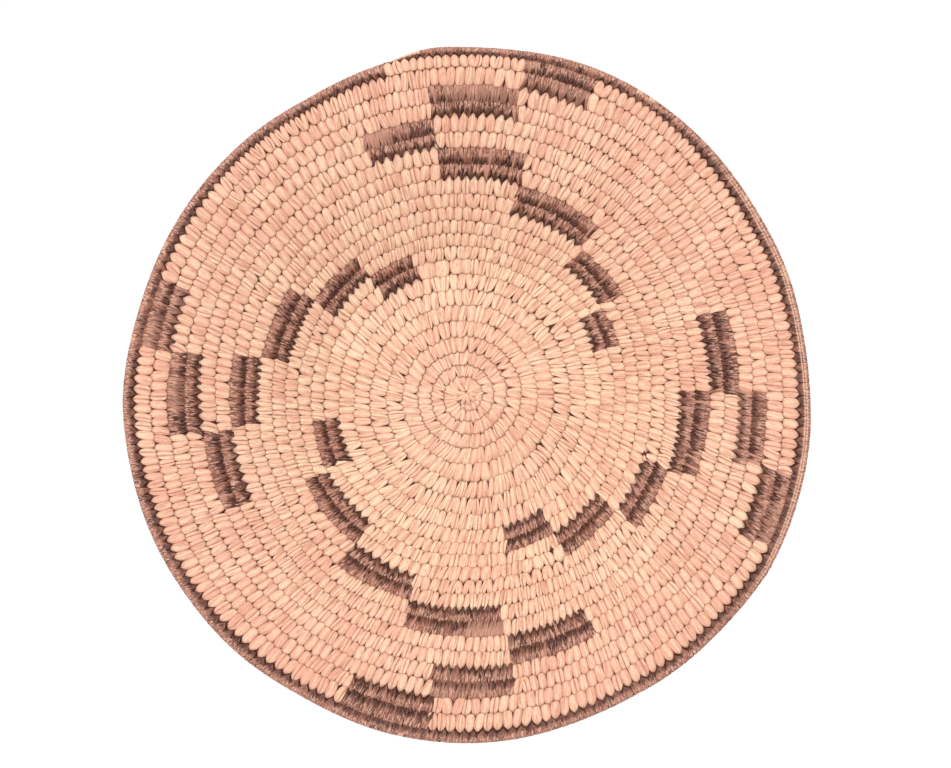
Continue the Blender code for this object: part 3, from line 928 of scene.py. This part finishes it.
class Signal:
    """A node's output. Python's operators on it add Math nodes to its finish."""

    def __init__(self, finish, socket):
        self.finish = finish
        self.socket = socket

    def __add__(self, other):
        return self.finish.math("ADD", self, other)

    def __sub__(self, other):
        return self.finish.math("SUBTRACT", self, other)

    def __rsub__(self, other):
        return self.finish.math("SUBTRACT", other, self)

    def __mul__(self, other):
        return self.finish.math("MULTIPLY", self, other)

    def __truediv__(self, other):
        return self.finish.math("DIVIDE", self, other)

    def between(self, low, high):
        """0 below low and 1 above high, with a smooth rise, or a fall where low is the higher."""
        settings = {"interpolation_type": "SMOOTHSTEP"}
        ends = (low, high, 0.0, 1.0) if low < high else (high, low, 1.0, 0.0)
        return self.finish.node("ShaderNodeMapRange", settings, dict(enumerate((self, *ends))))

    __radd__ = __add__
    __rmul__ = __mul__


class Finish:
    """A material or sky, built from expressions. node() adds any node: type, settings, then sockets."""

    def __init__(self, name, kept_in=bpy.data.materials):
        self.made = kept_in.new(name)
        self.made.use_nodes = True
        self.tree = self.made.node_tree
        self.tree.nodes.clear()

    def node(self, kind, settings=None, sockets=None, out=0):
        made = self.tree.nodes.new(kind)
        for key, value in (settings or {}).items():
            setattr(made, key, value)
        for key, value in (sockets or {}).items():
            if isinstance(value, Signal):
                self.tree.links.new(value.socket, made.inputs[key])
            elif isinstance(value, tuple) and made.inputs[key].type == "RGBA":
                made.inputs[key].default_value = (*value, 1.0)
            else:
                made.inputs[key].default_value = value
        return Signal(self, made.outputs[out]) if made.outputs else None

    def math(self, operation, *values):
        """One Math node on signals or numbers."""
        return self.node("ShaderNodeMath", {"operation": operation}, dict(enumerate(values)))

    def mark(self, name):
        """A mark that the mesh carries at its corners."""
        return self.node("ShaderNodeAttribute", {"attribute_name": name}, out="Fac")

    def where(self):
        """The place on the object, in metres."""
        return self.node("ShaderNodeTexCoord", out="Object")

    def height_tone(self):
        """The place's height, over the height at which the colour has changed fully with it."""
        return self.node("ShaderNodeSeparateXYZ", None, {"Vector": self.where()}, out="Z") / TONE_CHANGE_HEIGHT

    def noise(self, vector, scale, detail, roughness=0.5):
        """Soft noise from 0 to 1 at so many features a unit."""
        sockets = {"Vector": vector, "Scale": scale, "Detail": detail, "Roughness": roughness}
        return self.node("ShaderNodeTexNoise", None, sockets)

    def mix(self, share, first, second):
        """The first colour where the share is 0, and the second where it is 1."""
        settings = {"data_type": "RGBA", "clamp_factor": True}
        sockets = {MIX_SHARE_SOCKET: share, MIX_FIRST_SOCKET: first, MIX_SECOND_SOCKET: second}
        return self.node("ShaderNodeMix", settings, sockets, out=MIX_RESULT_SOCKET)

    def surface(self, colour, fibre, roughnesses, height, shine):
        """A Principled surface joined to the output.

        Its roughness is the least plus what the fibres add, and its bump is in metres.
        """
        least, more = roughnesses
        bump = {"Strength": 1.0, "Distance": FIBRE_BUMP, "Height": height}
        normal = self.node("ShaderNodeBump", None, bump)
        sockets = {"Base Color": colour, "Roughness": fibre * more + least, "Normal": normal,
                   "Specular IOR Level": shine}
        shader = self.node("ShaderNodeBsdfPrincipled", None, sockets)
        self.node("ShaderNodeOutputMaterial", None, {"Surface": shader})
        return self.made


def fibres(finish, width, length, tone):
    """Noise drawn out along the splint, with its own pattern in every strand."""
    parts = (finish.mark("across") / width, finish.mark("along") / length, tone * TONE_SHUFFLE)
    place = finish.node("ShaderNodeCombineXYZ", None, dict(enumerate(parts)))
    return finish.noise(place, 1.0, FIBRE_DETAIL, FIBRE_ROUGHNESS)


def two_sets_of_fibres(finish, lengths, tone):
    """Coarse and fine fibres, and the height of the surface: a share of each."""
    coarse = fibres(finish, FIBRE_WIDTHS[0], lengths[0], tone)
    fine = fibres(finish, FIBRE_WIDTHS[1], lengths[1], tone + FINE_SHUFFLE)
    return coarse, fine, coarse * FIBRE_HEIGHT_SHARES[0] + fine * FIBRE_HEIGHT_SHARES[1]


def light_splint(name, straw, pink, shade, crevice_shade):
    """Pale splint: straw to pink from strand to strand and in blotches, fibres, painted shade at its edges
    and where it dives.
    """
    finish = Finish(name)
    tone = finish.mark("tone")
    edge = finish.mark("edge")
    way_round = finish.mark("way_round")
    coarse, fine, height = two_sets_of_fibres(finish, PALE_FIBRE_LENGTHS, tone)
    blotch = finish.noise(finish.where(), 1 / BLOTCH_SIZE, BLOTCH_DETAIL)
    speck = finish.noise(finish.where(), 1 / SPECK_SIZE, SPECK_DETAIL)
    pink_share = tone * PINK_BY_TONE + blotch * PINK_BY_BLOTCH + speck * PINK_BY_SPECK
    # Pinker towards the strand's rounded sides: painted shade
    pink_share = pink_share + edge.between(*PINK_SHADE_EDGE) * PINK_SHADE_BY_EDGE + finish.height_tone() - PINK_LESS
    colour = finish.mix(pink_share, straw, pink)
    for fibre, ends, share in zip((coarse, fine), SHADE_RANGES, SHADE_SHARES):
        colour = finish.mix(fibre.between(*ends) * share, colour, shade)
    # Painted shade: brown where the stitch dives under others, and along its edges between neighbours
    outer_end_shade = way_round.between(*OUTER_END_SHADE) * way_round.between(*OUTER_END_SHADE_UNDER) * OUTER_END_SHADE_SHARE
    dives = (way_round.between(*INNER_END_SHADE) + outer_end_shade) * CREVICE_END_SHADE_SHARE
    colour = finish.mix(edge.between(*CREVICE_EDGE_SHADE) * CREVICE_EDGE_SHADE_SHARE + dives, colour, crevice_shade)
    return finish.surface(colour, coarse, PALE_ROUGHNESSES, height, PALE_SHINE)


def dark_splint(name, deep, brown, glint, faded, lit_from):
    """Dark splint: deep brown in painted shade inside the row, lighter in painted light outside, thin painted
    glints, painted shade along its edges, pale where it has worn.
    """
    finish = Finish(name)
    tone = finish.mark("tone")
    edge = finish.mark("edge")
    fade = finish.mark("fade")
    way_round = finish.mark("way_round")
    coarse, fine, height = two_sets_of_fibres(finish, DARK_FIBRE_LENGTHS, tone)
    patch = finish.noise(finish.where(), 1 / PATCH_SIZE, BLOTCH_DETAIL)
    # Painted light on the outer half of each strand, and painted shade on its inner half
    lit_outer_half = way_round.between(lit_from, lit_from + LIT_WAY)
    brown_share = tone + patch * BROWN_BY_PATCH + finish.height_tone() * BROWN_BY_HEIGHT
    brown_share = brown_share + lit_outer_half * PAINTED_LIGHT_BY_OUTER_HALF - BROWN_LESS
    brown_share = brown_share + way_round.between(*LIT_EDGE) * PAINTED_LIGHT_BY_OUTER_EDGE
    colour = finish.mix(brown_share, deep, brown)
    # Painted glints: highlights on the strands, fuller on the lit outer half
    glints = coarse.between(*GLINT_RANGES[0]) * GLINT_SHARES[0]
    glints = glints + fine.between(*GLINT_RANGES[1]) * GLINT_SHARES[1]
    colour = finish.mix(glints * (lit_outer_half * (1 - INNER_GLINT_SHARE) + INNER_GLINT_SHARE), colour, glint)
    colour = finish.mix(fade * (coarse * FADE_BY_FIBRE + FADE_SHARE), colour, faded)
    first_rung, second_rung = (way_round.between(*rise) * way_round.between(*fall) for rise, fall in RUNGS)
    rungs = (first_rung + second_rung) * finish.mark("ladder") * edge.between(*RUNG_EDGE)
    colour = finish.mix(rungs * (fine * RUNG_BY_FIBRE + patch * RUNG_BY_PATCH - RUNG_LESS), colour, faded)
    # Painted shade along the strand's edges
    groove_shade = edge.between(*GROOVE_SHADE_EDGE) * (1 - fade * GROOVE_SHADE_FADING) * GROOVE_SHADE_SHARE
    colour = finish.mix(groove_shade, colour, deep)
    return finish.surface(colour, coarse, DARK_ROUGHNESSES, height, DARK_SHINE)


def grass_rod(name, straw, brown):
    """Grass rods: straw darkened as painted shade for the gaps between stitches, lengthwise streaks, brown
    painted shade in the grooves between the rods.
    """
    finish = Finish(name)
    streaks = fibres(finish, FIBRE_WIDTHS[0], PALE_FIBRE_LENGTHS[0], 0.0)
    # Brown painted shade in the grooves between rods, and brown streaks
    brown_share = finish.mark("edge") * ROD_SHADE_BY_GROOVE + streaks * ROD_BROWN_BY_STREAK
    return finish.surface(finish.mix(brown_share, straw, brown), streaks, ROD_ROUGHNESSES, streaks, ROD_SHINE)


def seen_directly(finish):
    """1 for rays from the camera, or through glass or off a shiny surface, else 0."""
    rays = [finish.node("ShaderNodeLightPath", out=name) for name in
            ("Is Camera Ray", "Is Glossy Ray", "Is Transmission Ray")]
    return finish.math("MAXIMUM", finish.math("MAXIMUM", rays[0], rays[1]), rays[2])


def add_floor():
    """A wide pale floor under the bowl, which lights it from below and looks white."""
    half = FLOOR_SIZE / 2
    mesh = bpy.data.meshes.new("floor")
    corners = [(-half, -half, 0), (half, -half, 0), (half, half, 0), (-half, half, 0)]
    mesh.from_pydata(corners, [], [(0, 1, 2, 3)])
    finish = Finish("floor_white")
    matt = finish.node("ShaderNodeBsdfDiffuse", None, {"Color": FLOOR_COLOUR})
    glow = finish.node("ShaderNodeEmission", None, {"Color": WHITE, "Strength": GLOW_STRENGTH})
    both = finish.node("ShaderNodeMixShader", None, {0: seen_directly(finish), 1: matt, 2: glow})
    finish.node("ShaderNodeOutputMaterial", None, {"Surface": both})
    mesh.materials.append(finish.made)
    floor = bpy.data.objects.new("floor", mesh)
    bpy.context.scene.collection.objects.link(floor)


def add_light():
    """One large soft lamp overhead, and an even sky that looks white where it is seen directly."""
    lamp = bpy.data.lights.new("softbox", "AREA")
    lamp.shape = "DISK"
    lamp.size = LAMP_SIZE
    lamp.energy = LAMP_POWER
    holder = bpy.data.objects.new("softbox", lamp)
    holder.location = (*LAMP_ASIDE, LAMP_HEIGHT)
    east, north = LAMP_ASIDE
    holder.rotation_euler = (-math.atan2(north, LAMP_HEIGHT), math.atan2(east, LAMP_HEIGHT), 0)
    bpy.context.scene.collection.objects.link(holder)
    sky = Finish("studio", bpy.data.worlds)
    strength = sky.math("MAXIMUM", seen_directly(sky) * GLOW_STRENGTH, SKY_STRENGTH)
    glow = sky.node("ShaderNodeBackground", None, {"Color": WHITE, "Strength": strength})
    sky.node("ShaderNodeOutputWorld", None, {"Surface": glow})
    bpy.context.scene.world = sky.made


def add_camera():
    """A camera straight above the bowl, whose picture's width spans the right length at the rim."""
    lens = bpy.data.cameras.new("camera")
    lens.sensor_width = SENSOR_WIDTH * MILLIMETRES
    lens.lens = SENSOR_WIDTH * MILLIMETRES * CAMERA_HEIGHT / (IMAGE_WIDTH * METRES_PER_PIXEL)
    camera = bpy.data.objects.new("camera", lens)
    camera.location = (CAMERA_X, CAMERA_Y, CAMERA_HEIGHT + RIM_HEIGHT)
    bpy.context.scene.collection.objects.link(camera)
    bpy.context.scene.camera = camera


def add_bowl():
    """Every piece of the bowl: rods, knot, pale stitches by zone, dark runs, rim."""
    runs = dark_runs()
    table = shape_stitches(lay_out_stitches(runs), runs)
    pale = light_splint("light_splint", STRAW, PINK, SPLINT_SHADE, CREVICE_SHADE_BROWN)
    dark = dark_splint("dark_splint", DARK_DEEP, DARK_BROWN, DARK_PAINTED_GLINT, DARK_FADED, DARK_LIT_FROM)
    rim = dark_splint("rim_splint", RIM_DEEP, RIM_BROWN, RIM_PAINTED_GLINT, RIM_FADED, RIM_LIT_FROM)
    add_grass_rods(grass_rod("grass_rod", ROD_SHADED_STRAW, ROD_SHADED_BROWN))
    add_knot(pale)
    ends = [first for _, first in ZONES[1:]] + [RIM_START]
    for (zone, first), last in zip(ZONES, ends):
        chosen = (table["kind"] == PALE) & (table["turn"] >= first) & (table["turn"] < last)
        add_stitches(f"light_stitches_{zone}", table, chosen, pale, "light_stitching")
    for number, (name, _, _) in enumerate(runs):
        chosen = table["run"] == number
        add_stitches(f"dark_stitches_{name}", table, chosen, dark, f"dark_run_{name}")
    add_stitches("rim_stitches", table, table["kind"] == RIM, rim, "rim_stitching")


add_camera()
add_bowl()
add_floor()
add_light()
bpy.context.scene.view_settings.view_transform = "Standard"
